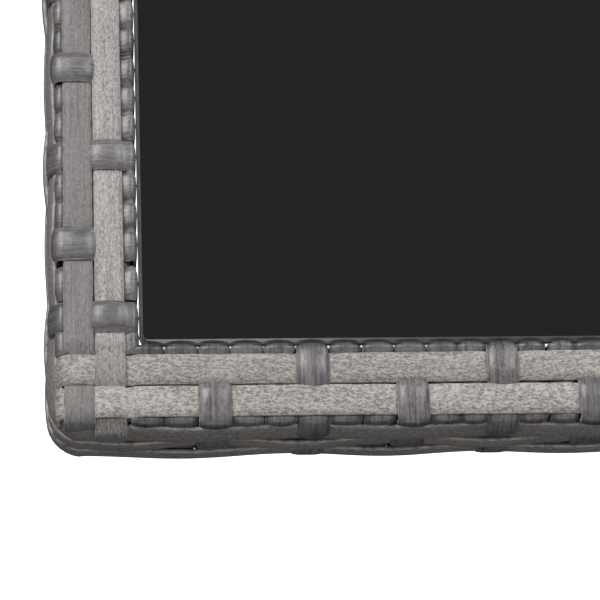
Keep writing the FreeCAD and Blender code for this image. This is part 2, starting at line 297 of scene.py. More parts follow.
# axis is the direction a side runs in, sign the side of the table that it is on.
SIDES = {
    "front": {"axis": 0, "half": LONG / 2, "sign": -1, "long": True},
    "back": {"axis": 0, "half": LONG / 2, "sign": 1, "long": True},
    "left": {"axis": 1, "half": SHORT / 2, "sign": -1, "long": False},
    "right": {"axis": 1, "half": SHORT / 2, "sign": 1, "long": False},
}
RIM_STEP = 1.5                   # between the points of a wrap
TOP_ROWS = {True: ((8.65, 8.1), (17.15, 8.0)), False: ((8.6, 7.5), (16.4, 7.5))}   # (middle, width)
UPWARD = 0.01                    # a point whose normal rises more than this is on top
ROW_LEAST = 0.62                 # the lowest a strand's middle can lie on the tube
UNDER_END = 2.0                  # the strands underneath stop this far inside the tubes' ends
UNDER_LOOK = (0.8, 0.6)          # their tone and flecks
UNDER_TUCK, TUCK_PAST, TUCK_OVER = 0.9, 6.0, 3.0   # a short side's lie closer to the tube near the corner

# At a corner the strands of both sides cross, and turn down over the outer faces as tails.
CORNER_CROSSED, CROSSED_OVER = 21.2, 2.4   # the neighbouring side's strands reach this far in
CROSSING_HIGH, CROSSING_LOW = 1.95, 0.75   # the middles of the strand above and the strand below
CROSSING_EDGE, CROSSING_SLOPE = 1.2, 2.6   # and how they pass from one to the other
CORNER_ROW_WIDE = 7.8            # the short sides' strands spread this wide at the corners
CORNER_SPREAD = (2.0, 6.0)       # from this far before their first wrap, over this much
CORNER_SHIFT = {"A": 0.25, "B": 0.1}
TAIL_TURN, TAIL_TURNED = 0.3, 3.0   # a tail takes its own height from this far down, over this much
TAIL_HIGH, TAIL_TUCKED = 1.0, 0.9   # its middle over the tube, and beside a side strand that it crosses
TAIL_LOWER = 0.9                 # how much further out it comes lower down
TAIL_EDGE, TAIL_SLOPE, TAIL_CLEAR = 1.0, 4.0, 0.1   # how it passes over that strand
TAIL_WIDER, TAIL_FROM = 0.55, 0.6   # how much wider it is, and from how far inside the tube's face

# Wraps are numbered from the nearer corner.
WRAP_START = {True: 21.7, False: 27.0}
FIRST_WRAP = 2                   # the neighbouring side's two strands come down in place of wraps 0 and 1
SLIP, SLIP_FROM, SLIP_OVER = 2.8, 4, 9   # a short side's wraps slid away from the corner, leaving a gap
SLIP_BEFORE = 0.8
SLIP_WIDER = 0.9                 # those beside the gap have spread
# The long sides' wraps crowd up towards the corner from here on, easing off over the next ones.
CROWD_INDEX, CROWD_SHIFT = (11, 13, 16, 40), (0.0, 1.6, 3.4, 0.0)
CROWD_NARROWER = 0.9             # the crowded ones, except where a strand passes under one
CORNER_WRAP, CORNER_WRAP_WIDE = 24.4, 6.2   # the short sides' last, narrowed wrap
NARROWED = -1                    # its number

INSIDE_SHADE, OUTSIDE_SHADE = 0.66, 0.74   # painted shade on a long side's wraps beside the glass and beside its outer strand, as shares of their colour
OUTSIDE_TALL = 8.0
CORNER_DARKER, DARKER_OVER = 0.3, 8.0   # the short sides' B strand where it crosses the corner
# Per strand: (tone, how flecked), by whether the side is long and which strand it is.
ROW_LOOKS = {
    (True, "A"): (0.95, 1.0),
    (True, "B"): (0.87, 0.85),
    (False, "A"): (0.6, 0.15),
    (False, "B"): (1.01, 0.5),
}


def place(side, along, inward, z):
    """Points in the frame from distances along a side, inwards from its woven face and up from the top."""
    s = SIDES[side]
    across = s["sign"] * ((SHORT if s["axis"] == 0 else LONG) / 2 - inward)
    along = np.broadcast_to(along, np.shape(across)) if np.ndim(across) else along
    pair = (along, across) if s["axis"] == 0 else (across, along)
    return np.stack(np.broadcast_arrays(pair[0], pair[1], np.asarray(z) + TOP_Z), -1)


def direction(side, inward, up):
    s = SIDES[side]
    across = -s["sign"] * np.asarray(inward, float)
    zero = np.zeros_like(across)
    pair = (zero, across) if s["axis"] == 0 else (across, zero)
    return np.stack(np.broadcast_arrays(pair[0], pair[1], np.asarray(up, float)), -1)


def wrap_places(side):
    """[(distance along from the middle, number from the nearer corner)] for one side's wraps."""
    s = SIDES[side]
    start = WRAP_START[s["long"]]
    span = 2 * (s["half"] - start)
    count = int(round(span / WRAP_PITCH))
    pitch = span / count
    places = []
    for q in range(count):
        at = -s["half"] + start + (q + 0.5) * pitch
        index = FIRST_WRAP + min(q, count - 1 - q)
        if s["long"]:
            crowd = np.interp(index, CROWD_INDEX, CROWD_SHIFT)
            at += math.copysign(float(crowd), at)
        elif index >= SLIP_FROM:
            slide = SLIP * max(0.0, 1 - (index - SLIP_FROM) / SLIP_OVER)
            at -= math.copysign(slide, at)
        elif index == SLIP_FROM - 1:
            at -= math.copysign(SLIP_BEFORE, at)
        places.append((at + random.uniform(-PLACE_JITTER, PLACE_JITTER), index))
    if not s["long"]:
        places += [(end * (s["half"] - CORNER_WRAP), NARROWED) for end in (-1, 1)]
    return places


rim_places = {side: wrap_places(side) for side in SIDES}


def under(side, index):
    """The strands that pass under the wrap with this number: 'A' and 'B' on top, 0 to 2 on the side."""
    first = index % PERIOD == 1
    if not SIDES[side]["long"]:
        first = index == FIRST_WRAP or (index > FIRST_WRAP and first)
    if first:
        return ("B", 0, 2)
    if index % PERIOD == 4:
        return ("A", 1)
    return ()


def under_places(side, strand):
    return [at for at, index in rim_places[side] if strand in under(side, index)]


def wrap_width(side, index):
    if index == NARROWED:
        return CORNER_WRAP_WIDE
    if not SIDES[side]["long"]:
        return WRAP_WIDE + SLIP_WIDER * (index in (SLIP_FROM - 1, SLIP_FROM))
    crowded = CROWD_INDEX[0] < index <= CROWD_INDEX[2] and not under(side, index)
    return WRAP_WIDE - CROWD_NARROWER * crowded


class RimSection:
    """The tube's outline across one side, with which of its faces each point is on."""

    def __init__(self, side):
        bottom = TUBE_TOP - TUBE_TALL
        inner = TUBE_OUT + TUBE_WIDE
        section = Section((TUBE_OUT, bottom), (inner, TUBE_TOP), TUBE_EDGE, RIM_STEP)
        self.points, self.normals = section.points, section.normals
        self.inward, self.level = self.points.T
        self.on_top = self.level > TUBE_TOP - TUBE_EDGE
        self.on_side = self.inward < TUBE_OUT + TUBE_EDGE
        self.on_floor = self.level < bottom + TUBE_EDGE
        self.inside = (self.inward > inner - TUBE_EDGE) & ~self.on_floor
        self.outer = self.inward < TUBE_OUT + OUTER_BAND
        self.long = SIDES[side]["long"]
        self.rows = TOP_ROWS[self.long]

    def heights(self, index, crossed):
        """How far a wrap's middle lies over the tube, given the strands that it crosses over."""
        height = np.full(len(self.level), WRAP_LOW)
        height += (WRAP_SIDE - WRAP_LOW) * self.on_side
        height += (WRAP_SIDE_LOW - WRAP_SIDE) * self.on_side * ramp(LOW_FROM - self.level, LOW_OVER)
        height = np.where(self.on_floor & self.outer, WRAP_SIDE_LOW, height)
        low = WRAP_INSIDE[self.long]
        top = low if index == NARROWED else WRAP_INSIDE_TOP[self.long]
        height += (low - WRAP_LOW) * self.inside
        height += (top - low) * self.inside * ramp(self.level - TUBE_TOP + INSIDE_TALL, INSIDE_RISE)
        for name, (middle, wide) in zip("AB", self.rows):
            rise = plateau(self.inward - middle, wide / 2 - STRAND_EDGE, WRAP_SLOPE + STRAND_EDGE)
            if name in crossed:
                dome = bump((self.inward - middle) / (wide / 2 + DOME_PAST))
                height += (WRAP_OVER - WRAP_LOW) * rise * self.on_top * ~self.inside
                height += WRAP_DOME * dome * self.on_top * ~self.inside
            elif crossed:
                height += (WRAP_OVER - WRAP_LOW) * rise * self.on_floor
        for k, (row_in, row_z, _) in enumerate(SIDE_ROWS):
            if k in crossed:
                rise = plateau(self.level - row_z, SIDE_ROW_WIDE / 2 - SIDE_EDGE, SIDE_SLOPE)
                high = TUBE_OUT - row_in - SIDE_BOW[self.long][k] + SIDE_OVER[k]
                over = np.maximum(height, WRAP_LOW + (high - WRAP_LOW) * rise)
                height = np.where(self.on_side, over, height)
        return height

    def crowns(self, index):
        if index == NARROWED:
            return np.zeros(len(self.level))
        top_corner = self.inside & (self.level > TUBE_TOP - CORNER_TALL)
        low_side = self.outer & (self.level < TUBE_TOP - TUBE_TALL / 2)
        return np.select(
            [top_corner, self.inside, low_side],
            [WRAP_CORNER_CROWN[self.long], WRAP_INSIDE_CROWN[self.long], LOW_SIDE_CROWN],
            WRAP_CROWN,
        )

    def painted_shade(self):
        """Painted shade: how much darker the wraps are painted in their sheltered parts, where less light
        reaches them.
        """
        tone = np.ones(len(self.level))
        if self.long:
            middle, wide = self.rows[0]
            outside = (self.inward < middle - wide / 2) & ~self.on_floor
            tone[self.inside & (self.level > TUBE_TOP - INSIDE_TALL)] = INSIDE_SHADE
            tone[outside & (self.level > TUBE_TOP - OUTSIDE_TALL)] = OUTSIDE_SHADE
        return tone


def rim_wraps(side, material):
    weave = Weave()
    section = RimSection(side)
    # The wraps' tone carries painted shade in their sheltered parts.
    tone = section.painted_shade()
    normal = direction(side, section.normals[:, 0], section.normals[:, 1])
    for at, index in rim_places[side]:
        height = section.heights(index, under(side, index))
        crown = section.crowns(index) + random.uniform(*CROWN_JITTER)
        spot = section.points + section.normals * height[:, None]
        spot[:, 0] = np.minimum(spot[:, 0], GLASS_EDGE - GLASS_CLEAR - THICK / 2)
        lean = random.uniform(-LEAN_JITTER, LEAN_JITTER)
        lean = lean * (spot[:, 0] - TUBE_OUT - TUBE_WIDE / 2) / TUBE_WIDE
        weave.add(
            place(side, at + lean, spot[:, 0], spot[:, 1]),
            normal,
            wrap_width(side, index) + random.uniform(*WIDTH_JITTER),
            crown,
            tone=random.gauss(*WRAP_TONE) * tone,
            fleck=random.uniform(0, 1),
            closed=True,
        )
    return weave.build(f"rim_wraps_{side}", material, "wicker_wrap", "table")


def corner_heights(long, name, reach):
    """How high a top strand lies where it crosses the two strands of the neighbouring side.
    reach is the distance in from that side's woven face. Short sides' A goes over the long sides' A."""
    height = np.full(len(reach), 0.0)
    for crossing, (middle, wide) in zip("AB", TOP_ROWS[not long]):
        goes_over = long if name != crossing else not long
        level = CROSSING_HIGH if goes_over else CROSSING_LOW
        height += level * plateau(reach - middle, wide / 2 - CROSSING_EDGE, CROSSING_SLOPE)
    return height


def tail_heights(long, name, level):
    """How far a top strand's tail lies over the neighbouring side's outer face."""
    tail = np.full(len(level), TAIL_HIGH)
    if name == "B" and not long:
        # It comes out over the first side strand.
        row_in, row_z, _ = SIDE_ROWS[0]
        rise = plateau(level - row_z, SIDE_ROW_WIDE / 2 - TAIL_EDGE, TAIL_SLOPE)
        out = TUBE_OUT - row_in - SIDE_BOW[True][0] + THICK + TAIL_CLEAR
        tail = TAIL_TUCKED + (out - TAIL_TUCKED) * rise
    return tail + TAIL_LOWER * ramp(LOW_FROM - level, TAIL_TURNED)


def top_row(weave, side, name, middle, wide):
    """A strand along the top that turns down over the neighbouring sides' outer faces."""
    s = SIDES[side]
    long = s["long"]
    tube_half = s["half"] - TUBE_OUT
    bottom = TUBE_TOP - TUBE_TALL
    section = Section((-tube_half, bottom), (tube_half, TUBE_TOP), TUBE_EDGE, WRAP_PITCH / 6)
    cut = section.points[:, 1] > bottom + TUBE_EDGE
    spots, normals = section.points[cut][::-1], section.normals[cut][::-1]
    along, level = spots.T
    reach = s["half"] - np.abs(along)

    height = dipped(ROW_HIGH * np.ones(len(along)), along, under_places(side, name), ROW_DIP)
    height += sway(along, size=0.05, length=23.0, start=2 * middle)
    inside = ramp(reach - CORNER_CROSSED, CROSSED_OVER)
    height = height * inside + corner_heights(long, name, reach) * (1 - inside)
    tail = tail_heights(long, name, level)
    turned = ramp(TUBE_TOP - TAIL_TURN - level, TAIL_TURNED)
    height = np.where(normals[:, 1] > UPWARD, height * (1 - turned) + tail * turned, tail)
    spot = spots + normals * np.maximum(height, ROW_LEAST)[:, None]

    width = wide + TAIL_WIDER * ramp(TUBE_OUT + TAIL_FROM - reach, 1.0)
    tone, fleck = ROW_LOOKS[(long, name)]
    shift = 0.0
    if not long:
        before, over = CORNER_SPREAD
        corner = ramp(WRAP_START[long] + before - reach, over)
        width = width + (CORNER_ROW_WIDE - wide) * corner
        shift = corner * CORNER_SHIFT[name]
    if name == "B" and not long:
        tone = tone * (1 - CORNER_DARKER * ramp(WRAP_START[long] - reach, DARKER_OVER))
    inward = middle + shift + sway(along, size=0.12, length=31.0, start=middle)
    flat = np.zeros(len(along))
    facing = (normals[:, 0], flat) if s["axis"] == 0 else (flat, normals[:, 0])
    normal = np.stack([*facing, normals[:, 1]], -1)
    centre = place(side, spot[:, 0], inward, spot[:, 1])
    weave.add(centre, normal, width, ROW_CROWN, tone=tone, fleck=fleck)


def under_row(weave, side, name, middle, wide):
    """A strand along the underside, a plain run from corner to corner."""
    s = SIDES[side]
    end = s["half"] - TUBE_OUT - UNDER_END
    along = np.arange(-end, end, WRAP_PITCH / 4)
    height = dipped(np.full(len(along), ROW_HIGH), along, under_places(side, name), ROW_DIP)
    if not s["long"]:
        reach = s["half"] - np.abs(along)
        height = height - UNDER_TUCK * ramp(TUBE_WIDE + TUCK_PAST - reach, TUCK_OVER)
    centre = place(side, along, middle, TUBE_TOP - TUBE_TALL - height)
    normal = np.tile([0.0, 0.0, -1.0], (len(along), 1))
    tone, fleck = UNDER_LOOK
    weave.add(centre, normal, wide, ROW_CROWN, tone=tone, fleck=fleck)


def rim_rows(side, material):
    weave = Weave()
    rows = TOP_ROWS[SIDES[side]["long"]]
    for name, (middle, wide) in zip("AB", rows):
        top_row(weave, side, name, middle, wide)
    for name, (middle, wide) in zip("BA", rows):
        under_row(weave, side, name, middle, wide)
    return weave.build(f"rim_rows_{side}", material, "wicker_strand", "table", f"rim_weave_{side}")


# The sides in order round the table, which way each faces and which way its strands run.
OUTWARD = {"front": (0, -1), "right": (1, 0), "back": (0, 1), "left": (-1, 0)}
FORWARD = {side: (-y, x) for side, (x, y) in OUTWARD.items()}


def side_bow(side, k, along, reach):
    """How far in from its mean line a side strand lies: most under a wrap, least halfway between two."""
    s = SIDES[side]
    way = sum(FORWARD[side])
    ends = sorted(at * way for at in under_places(side, k))
    if k == 0 and s["long"]:
        # The neighbouring side's B strand comes down over it, near the corner.
        last = s["half"] - TOP_ROWS[False][1][0]
    else:
        last = reach + SIDE_CORNER
    ends = np.array([-last] + ends + [last])
    nearest = np.clip(np.searchsorted(ends, along), 1, len(ends) - 1)
    gap = ends[nearest] - ends[nearest - 1]
    phase = (along - ends[nearest - 1]) / gap
    share = np.clip(gap / SIDE_GAP, SIDE_BOW_LEAST, 1.0)
    return SIDE_BOW[s["long"]][k] * np.cos(2 * math.pi * phase) * share


def side_path(k, row_in):
    """The plan of one strand round the table: its points, the way out from each and its share of tilt."""
    r = SIDE_CORNER
    halves = LONG / 2 - row_in, SHORT / 2 - row_in
    points, outward, tilts = [], [], []
    for side, face in OUTWARD.items():
        s = SIDES[side]
        forward = np.array(FORWARD[side])
        reach = halves[s["axis"]] - r
        along = np.arange(-reach, reach, WRAP_PITCH / 6)
        across = halves[1 - s["axis"]] - side_bow(side, k, along, reach)
        points += (np.outer(along, forward) + np.outer(across, face)).tolist()
        outward += [face] * len(along)
        near = ramp(np.abs(along) - reach + CORNER_REACH, CORNER_REACH)
        tilts += (near * CORNER_LEAN[s["long"]]).tolist()
        centre = (forward + face) * (np.array(halves) - r)
        for q in range(1, TURN_STEPS):
            angle = math.atan2(face[1], face[0]) + q * math.pi / (2 * TURN_STEPS)
            outward.append((math.cos(angle), math.sin(angle)))
            points.append([centre[0] + r * math.cos(angle), centre[1] + r * math.sin(angle)])
            tilts.append(TURN_LEAN)
    seam = int(len(points) * SEAM)
    return [np.roll(np.array(rows), -seam, 0) for rows in (points, outward, tilts)]


def side_loops(material):
    """The three strands that run right round the rim's outer face. On the back each has a small gap
    between its ends, one step of its path long."""
    weave = Weave()
    for k, (row_in, row_z, tilt) in enumerate(SIDE_ROWS):
        points, outward, tilts = side_path(k, row_in)
        tilts = tilts * (k == 0)
        lean = np.radians(tilt + CORNER_TILT * tilts)
        along = np.arange(len(points)) * (WRAP_PITCH / 6)
        depth = TURN_IN * tilts + sway(along, size=0.2, length=7.3, start=2.1 * k)
        points = points - outward * depth[:, None]
        wave = sway(along, size=0.2, length=40.0, start=k)
        wave = wave + sway(along, size=0.15, length=9.1, start=1.7 * k)
        centre = np.column_stack([points, np.full(len(points), row_z + TOP_Z) + wave])
        normal = np.column_stack([outward * np.cos(lean)[:, None], np.sin(lean)])
        # Their tones carry painted shade for the outer face.
        weave.add(
            centre, normal, SIDE_ROW_WIDE, ROW_CROWN, tone=SIDE_SHADED_TONES[k], fleck=SIDE_FLECK, cut=SIDE_CUT_AND_HIGHLIGHT
        )
    return weave.build("rim_side_rows", material, "wicker_strand", "table")


# --- Posts and aprons -------------------------------------------------------------------------------
BASE_ROW_PITCH = 8.1
BASE_ROW_WIDE = 7.7
BASE_ROW_END = 0.3               # the strands stop this far inside the wraps
BASE_STEP = WRAP_PITCH / 4
BASE_SECTION_STEP = 2.1
BASE_DIP = 1.0
BASE_OVER = 2.08
BASE_TONES = (1.0, 0.94, 0.86, 0.72)
BASE_FLECKS = (0.3, 1.0)
POST_ROWS, APRON_ROWS, APRON_EDGE_ROWS = 4, 7, 2   # strands on a post's or an apron's faces


def crossed(strand, index):
    return (index + PERIOD // 2 * strand) % PERIOD == 1


def bar_wraps(name, section, axis, places, strands, material):
    weave = Weave(LIGHT_PROFILE)
    a, b = (axis + 1) % 3, (axis + 2) % 3
    column = {a: 0, b: 1}
    for index, at in enumerate(places):
        height = np.full(len(section.points), WRAP_LOW)
        for strand, (face_axis, sign, other, spot) in enumerate(strands):
            if crossed(strand, index):
                facing = np.clip(section.normals[:, column[face_axis]] * sign, 0, 1) ** 2
                beside = section.points[:, column[other]] - spot
                rise = plateau(beside, BASE_ROW_WIDE / 2 - STRAND_EDGE, WRAP_SLOPE)
                height += (BASE_OVER - WRAP_LOW) * rise * facing
        ring = section.points + section.normals * height[:, None]
        centre = np.zeros((len(ring), 3))
        normal = np.zeros((len(ring), 3))
        centre[:, a], centre[:, b], centre[:, axis] = ring[:, 0], ring[:, 1], at
        normal[:, a], normal[:, b] = section.normals[:, 0], section.normals[:, 1]
        weave.add(
            centre,
            normal,
            WRAP_WIDE + random.uniform(*WIDTH_JITTER),
            WRAP_CROWN,
            tone=random.gauss(*WRAP_TONE),
            fleck=random.uniform(0, 1),
            closed=True,
        )
    weave.build(f"{name}_wraps", material, "wicker_wrap", "table")


def bar_rows(name, low, high, axis, places, strands, node, material):
    weave = Weave(LIGHT_PROFILE)
    along = np.arange(low[axis] + BASE_ROW_END, high[axis] - BASE_ROW_END, BASE_STEP)
    for strand, (face_axis, sign, other, spot) in enumerate(strands):
        pressed = [at for index, at in enumerate(places) if crossed(strand, index)]
        height = dipped(np.full(len(along), ROW_HIGH), along, pressed, BASE_DIP)
        face = high[face_axis] if sign > 0 else low[face_axis]
        centre = np.zeros((len(along), 3))
        normal = np.zeros((len(along), 3))
        centre[:, axis] = along
        centre[:, other] = spot + sway(along, size=0.1, length=29.0, start=strand)
        centre[:, face_axis] = face + sign * height
        normal[:, face_axis] = sign
        weave.add(
            centre,
            normal,
            BASE_ROW_WIDE,
            ROW_CROWN,
            tone=random.choice(BASE_TONES),
            fleck=random.uniform(*BASE_FLECKS),
        )
    weave.build(f"{name}_rows", material, "wicker_strand", "table", node)


def woven_bar(name, low, high, axis, rows_on, node, wrap_material, row_material):
    """Wraps round a straight bar and strands along it. axis is the bar's direction; rows_on gives how
    many strands lie on each of its faces, by (axis, sign). node is the sleeve that they replace."""
    a, b = (axis + 1) % 3, (axis + 2) % 3
    section = Section((low[a], low[b]), (high[a], high[b]), TUBE_EDGE, BASE_SECTION_STEP)
    length = high[axis] - low[axis]
    count = int(length / WRAP_PITCH)
    pitch = length / count
    middle = (low + high) / 2
    strands = []
    for (face_axis, sign), number in rows_on.items():
        other = b if face_axis == a else a
        for q in range(number):
            spot = middle[other] + (q - (number - 1) / 2) * BASE_ROW_PITCH
            strands.append((face_axis, sign, other, spot))
    places = [
        low[axis] + (q + 0.5) * pitch + random.uniform(-PLACE_JITTER, PLACE_JITTER) for q in range(count)
    ]
    bar_wraps(name, section, axis, places, strands, wrap_material)
    bar_rows(name, low, high, axis, places, strands, node, row_material)


def corners_of(node):
    return [np.array(c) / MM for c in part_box(node)]


def woven_post(corner, wrap_material, row_material):
    node = f"post_weave_{corner}"
    low, high = corners_of(f"post_tube_{corner}")
    skin_low, skin_high = corners_of(node)
    low[2], high[2] = skin_low[2], skin_high[2]
    faces = {(axis, sign): POST_ROWS for axis in (0, 1) for sign in (-1, 1)}
    woven_bar(f"post_{corner}", low, high, 2, faces, node, wrap_material, row_material)


def woven_apron(side, wrap_material, row_material):
    node = f"apron_weave_{side}"
    axis = SIDES[side]["axis"]
    low, _ = corners_of(f"apron_bottom_rail_{side}")
    _, high = corners_of(f"apron_top_rail_{side}")
    skin_low, skin_high = corners_of(node)
    low[axis], high[axis] = skin_low[axis], skin_high[axis]
    counts = {1 - axis: APRON_ROWS, 2: APRON_EDGE_ROWS}
    faces = {(across, sign): count for across, count in counts.items() for sign in (-1, 1)}
    woven_bar(f"apron_{side}", low, high, axis, faces, node, wrap_material, row_material)


# --- Materials --------------------------------------------------------------------------------------
class Nodes:
    """Short forms for building a node material."""

    def __init__(self, name):
        self.material = bpy.data.materials.new(name)
        self.material.use_nodes = True
        self.tree = self.material.node_tree
        self.shader = self.tree.nodes["Principled BSDF"]

    def add(self, kind, **settings):
        node = self.tree.nodes.new(kind)
        for key, value in settings.items():
            setattr(node, key, value)
        return node

    def link(self, source, target):
        self.tree.links.new(source, target)

    def feed(self, socket, value):
        """Links an output to a socket, or sets the socket to a number or a colour."""
        if hasattr(value, "is_linked"):
            self.link(value, socket)
        elif isinstance(value, tuple):
            socket.default_value = (*value, 1.0)
        else:
            socket.default_value = value

    def math(self, operation, first, second=0.5, third=0.0):
        node = self.add("ShaderNodeMath", operation=operation)
        for socket, value in zip(node.inputs, (first, second, third)):
            self.feed(socket, value)
        return node.outputs[0]

    def noise(self, vector, scale, detail=2.0, roughness=0.5):
        node = self.add("ShaderNodeTexNoise")
        node.inputs["Scale"].default_value = scale
        node.inputs["Detail"].default_value = detail
        node.inputs["Roughness"].default_value = roughness
        self.link(vector, node.inputs["Vector"])
        return node.outputs["Fac"]

    def stretch(self, vector, scale):
        node = self.add("ShaderNodeVectorMath", operation="MULTIPLY")
        self.link(vector, node.inputs[0])
        node.inputs[1].default_value = scale
        return node.outputs[0]

    def span(self, value, low, high, out_low=0.0, out_high=1.0):
        node = self.add("ShaderNodeMapRange", clamp=True)
        self.link(value, node.inputs["Value"])
        for key, number in (
            ("From Min", low), ("From Max", high), ("To Min", out_low), ("To Max", out_high)
        ):
            node.inputs[key].default_value = number
        return node.outputs[0]

    def mix(self, factor, first, second, blend="MIX"):
        node = self.add("ShaderNodeMix", data_type="RGBA", blend_type=blend)
        self.feed(node.inputs["Factor"], factor)
        self.feed(node.inputs[6], first)
        self.feed(node.inputs[7], second)
        return node.outputs[2]

    def swing(self, pattern, share, base):
        """base, moved up and down by this share of a pattern about its middle."""
        return self.math("MULTIPLY_ADD", self.math("SUBTRACT", pattern, 0.5), share, base)

    def bump(self, height, strength, distance):
        node = self.add("ShaderNodeBump")
        node.inputs["Strength"].default_value = strength
        node.inputs["Distance"].default_value = distance
        self.link(height, node.inputs["Height"])
        self.link(node.outputs["Normal"], self.shader.inputs["Normal"])


WHITE = (1.0, 1.0, 1.0)
COOL = (0.93, 0.95, 1.0)         # the cast of a strip without flecks
# Scuffs and the pale strip edges share this colour; the edges are partly pale cut fibre and partly a
# painted highlight.
SCUFF_AND_EDGE_HIGHLIGHT = (0.5, 0.485, 0.465)
# The patterns on a strip: how fine along and across it, in cycles a millimetre, then detail and roughness.
GRAIN = ((1.0, 2.1, 1.0), 4.0, 0.6)
SPECK = ((2.6, 3.4, 1.0), 2.0, 0.5)
COARSE = ((0.4, 1.1, 1.0), 2.0, 0.5)
STREAKS = ((0.045, 2.1, 1.0), 3.0, 0.6)
PATCHES = ((0.035, 0.12, 1.0), 2.0, 0.5)
SCUFFS = ((0.5, 1.6, 1.0), 4.0, 0.7)
SPECK_SHARE, GRAIN_SHARE = 0.35, 0.65
COARSE_SHARE, PATCH_SHARE = 0.6, 0.5
FLECK_FROM, FLECK_TO = 0.39, 0.61   # the stretch of the specks and grain that goes from dark to light
FLECK_LEAST = 0.35
EDGE_FROM, EDGE_TO = 0.93, 0.98  # the pale edge, partly pale cut fibre and partly a painted highlight, as a share of the strip's half width
EDGE_PALE = (0.4, 0.6, 0.1, 0.75)   # from these values of the coarse pattern to these shares of pale
SCUFF_FROM, SCUFF_TO, SCUFF_SHARE = 0.7, 0.76, 0.5
NOISE_LOW, NOISE_HIGH = 0.3, 0.7   # most of a noise lies between these
GLOSS_DOWN, GLOSS_UP = 0.1, 0.12   # how far the streaks change the roughness
STREAK_RELIEF = 0.6
RELIEF, RELIEF_DEPTH = 0.45, 0.00012   # strength, and depth in metres


def wicker(name, dark, light, flecks, streaks, plain_streaks, rough, specular):
    """A flat extruded strip: grain drawn out along it, long streaks, paler edges that are partly pale cut
    fibre and partly a painted highlight. flecks and streaks say how strong those are; on a strip without
    flecks the streaks are plain_streaks times stronger."""
    n = Nodes(name)
    strip = n.add("ShaderNodeAttribute", attribute_name="strip").outputs["Vector"]
    look = n.add("ShaderNodeAttribute", attribute_name="look").outputs["Vector"]
    parts = n.add("ShaderNodeSeparateXYZ")
    n.link(look, parts.inputs[0])
    tone, flecked, across = parts.outputs

    def pattern(stretch, detail, roughness):
        return n.noise(n.stretch(strip, stretch), 1.0, detail, roughness)

    grain, coarse, streaked = pattern(*GRAIN), pattern(*COARSE), pattern(*STREAKS)
    speckled = n.math("MULTIPLY_ADD", pattern(*SPECK), SPECK_SHARE, n.math("MULTIPLY", grain, GRAIN_SHARE))
    amount = n.math("MULTIPLY", n.span(flecked, 0.0, 1.0, FLECK_LEAST, 1.0), flecks)
    mixed = n.swing(n.span(speckled, FLECK_FROM, FLECK_TO), amount, 0.5)
    mixed = n.swing(streaked, n.span(flecked, 0.0, 1.0, streaks * plain_streaks, streaks), mixed)
    mixed = n.swing(coarse, COARSE_SHARE, mixed)
    mixed = n.swing(pattern(*PATCHES), PATCH_SHARE, mixed)
    colour = n.mix(n.math("MINIMUM", n.math("MAXIMUM", mixed, 0.0), 1.0), dark, light)
    colour = n.mix(1.0, colour, n.mix(flecked, COOL, WHITE), "MULTIPLY")
    shade = n.add("ShaderNodeVectorMath", operation="SCALE")
    n.link(colour, shade.inputs[0])
    n.link(tone, shade.inputs["Scale"])

    # The pale edges are partly pale cut fibre and partly a painted highlight; the scuffs are real wear.
    edge = n.span(n.math("ABSOLUTE", across), EDGE_FROM, EDGE_TO)
    pale = n.math("MULTIPLY", edge, n.span(coarse, *EDGE_PALE))
    scuffs = n.span(pattern(*SCUFFS), SCUFF_FROM, SCUFF_TO)
    marked = n.math("MAXIMUM", pale, n.math("MULTIPLY", scuffs, SCUFF_SHARE))
    n.link(n.mix(marked, shade.outputs[0], SCUFF_AND_EDGE_HIGHLIGHT), n.shader.inputs["Base Color"])
    gloss = n.span(streaked, NOISE_LOW, NOISE_HIGH, rough - GLOSS_DOWN, rough + GLOSS_UP)
    n.link(gloss, n.shader.inputs["Roughness"])
    n.shader.inputs["Specular IOR Level"].default_value = specular
    n.bump(n.math("MULTIPLY_ADD", streaked, STREAK_RELIEF, grain), RELIEF, RELIEF_DEPTH)
    return n.material


BROADER = 40                     # how many times broader the patches of colour are than the relief
PATCH_LOW, PATCH_HIGH = 0.35, 0.65
PLAIN_GLOSS_DOWN, PLAIN_GLOSS_UP = 0.06, 0.08
PLAIN_DETAIL, PLAIN_DEPTH = 3.0, 0.0001


def plain(name, colour, rough, metallic=0.0, fine=900.0, bump=0.15, vary=0.25):
    """Painted, moulded or turned surfaces: fine relief, slight variation of colour and gloss. fine is the
    relief's scale, in cycles a metre."""
    n = Nodes(name)
    where = n.add("ShaderNodeTexCoord").outputs["Object"]
    relief = n.noise(where, fine, PLAIN_DETAIL)
    patches = n.span(n.noise(where, fine / BROADER), PATCH_LOW, PATCH_HIGH)
    darker = tuple(c * (1 - vary) for c in colour)
    n.link(n.mix(patches, darker, colour), n.shader.inputs["Base Color"])
    gloss = n.span(relief, NOISE_LOW, NOISE_HIGH, rough - PLAIN_GLOSS_DOWN, rough + PLAIN_GLOSS_UP)
    n.link(gloss, n.shader.inputs["Roughness"])
    n.shader.inputs["Metallic"].default_value = metallic
    n.bump(relief, bump, PLAIN_DEPTH)
    return n.material


PANE, PANE_DUST = (0.0033, 0.0038, 0.0048), (0.02, 0.02, 0.021)
GROUND_DARK, GROUND_LIGHT = (0.05, 0.048, 0.054), (0.085, 0.081, 0.09)   # the pane's bevel
